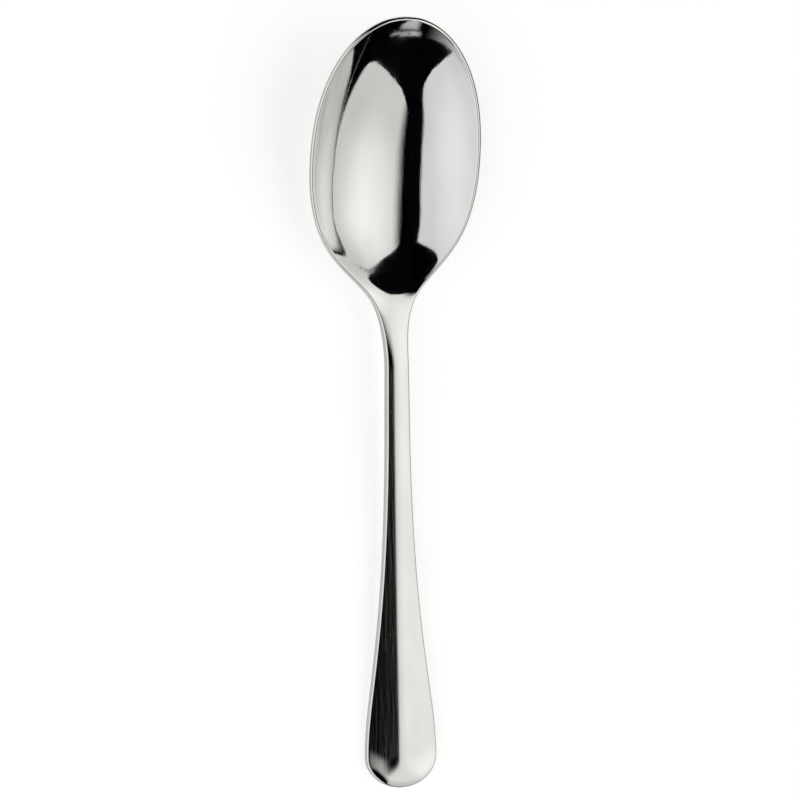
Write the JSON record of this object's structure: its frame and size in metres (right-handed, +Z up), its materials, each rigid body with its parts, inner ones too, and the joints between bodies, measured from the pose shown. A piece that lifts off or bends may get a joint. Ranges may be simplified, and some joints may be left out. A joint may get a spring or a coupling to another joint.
{
  "type": "dessert spoon",
  "caption": "Polished steel dessert spoon with an egg-shaped dished bowl, a slim stem and a ridged handle that widens to a flat round end.",
  "frame": {"origin": "under the middle of the spoon's box, on the surface that the spoon lies on", "axes": "+Y along the spoon from the handle's end to the bowl's tip, +X to the right, +Z up out of the bowl"},
  "size_m": [0.0416, 0.18, 0.0202],
  "materials": {
    "polished_steel": "polished"
  },
  "bodies": {
    "root": {"bowl": "polished_steel", "heel_drop": "polished_steel", "handle": "polished_steel"}
  },
  "joints": []
}
